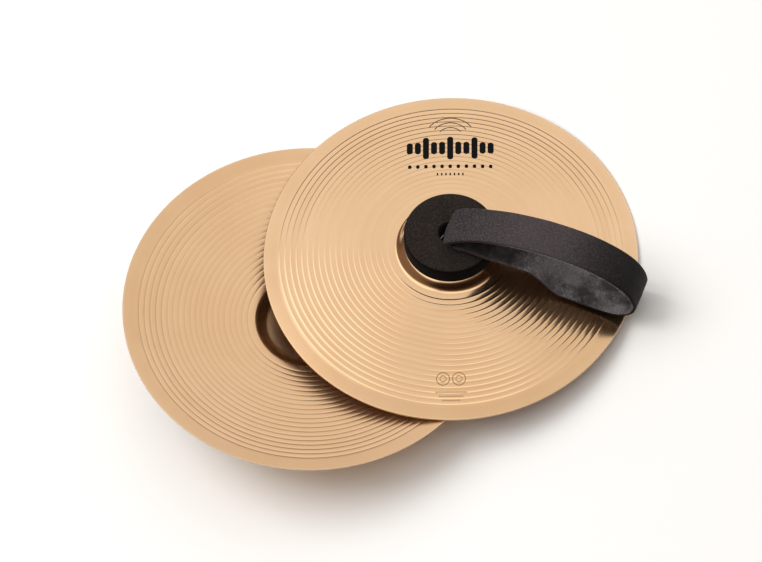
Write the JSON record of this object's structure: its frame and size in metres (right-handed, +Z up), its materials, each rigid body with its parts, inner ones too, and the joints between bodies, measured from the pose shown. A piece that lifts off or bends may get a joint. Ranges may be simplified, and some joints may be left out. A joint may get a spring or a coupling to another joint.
{
  "type": "hand cymbals",
  "caption": "Pair of round bronze hand cymbals with tone rings, round finger pads and folded hand straps, one resting on the other.",
  "frame": {"origin": "centre of the pair's footprint, on the table", "axes": "+X from the lower cymbal to the upper one, +Z up"},
  "size_m": [0.2808, 0.2032, 0.0647],
  "materials": {
    "bronze": "turned satin",
    "eyelet_metal": "plated",
    "pad_foam": "matte felted foam",
    "strap_suede": "fine nubuck",
    "strap_leather": "creased gloss",
    "washer_leather": "raw"
  },
  "bodies": {
    "lower_cymbal": {"lower_cymbal": "bronze", "lower_eyelet": "eyelet_metal"},
    "lower_grip": {"lower_pad": "pad_foam", "lower_strap_tails": "strap_leather", "lower_washer": "washer_leather", "lower_knot": "strap_leather", "lower_tail_ends": "strap_leather"},
    "lower_loop": {"lower_strap": "strap_suede", "lower_strap_lining": "strap_leather"},
    "upper_cymbal": {"upper_cymbal": "bronze", "upper_eyelet": "eyelet_metal"},
    "upper_grip": {"upper_pad": "pad_foam", "upper_strap_tails": "strap_leather", "upper_washer": "washer_leather", "upper_knot": "strap_leather", "upper_tail_ends": "strap_leather"},
    "upper_loop": {"upper_strap": "strap_suede", "upper_strap_lining": "strap_leather"}
  },
  "joints": [
    {"name": "upper_lift", "type": "slide", "parent": "lower_cymbal", "child": "upper_cymbal", "axis": [0, 0, 1], "range_m": [0, 0.12]},
    {"name": "lower_swivel", "type": "hinge", "parent": "lower_cymbal", "child": "lower_grip", "pos_m": [-0.04052, 0, 0.03201], "axis": [0.1908, 0, 0.9816], "continuous": true},
    {"name": "lower_loop_swing", "type": "hinge", "parent": "lower_grip", "child": "lower_loop", "pos_m": [-0.04634, 0, 0.00207], "axis": [0, -1, 0], "range_deg": [0, 75]},
    {"name": "upper_swivel", "type": "hinge", "parent": "upper_cymbal", "child": "upper_grip", "pos_m": [0.04013, 0, 0.0173], "axis": [0.1703, 0, 0.9854], "continuous": true},
    {"name": "upper_loop_swing", "type": "hinge", "parent": "upper_grip", "child": "upper_loop", "pos_m": [0.04533, 0, 0.04736], "axis": [-0.6201, -0.7771, 0.1072], "range_deg": [0, 75]}
  ]
}
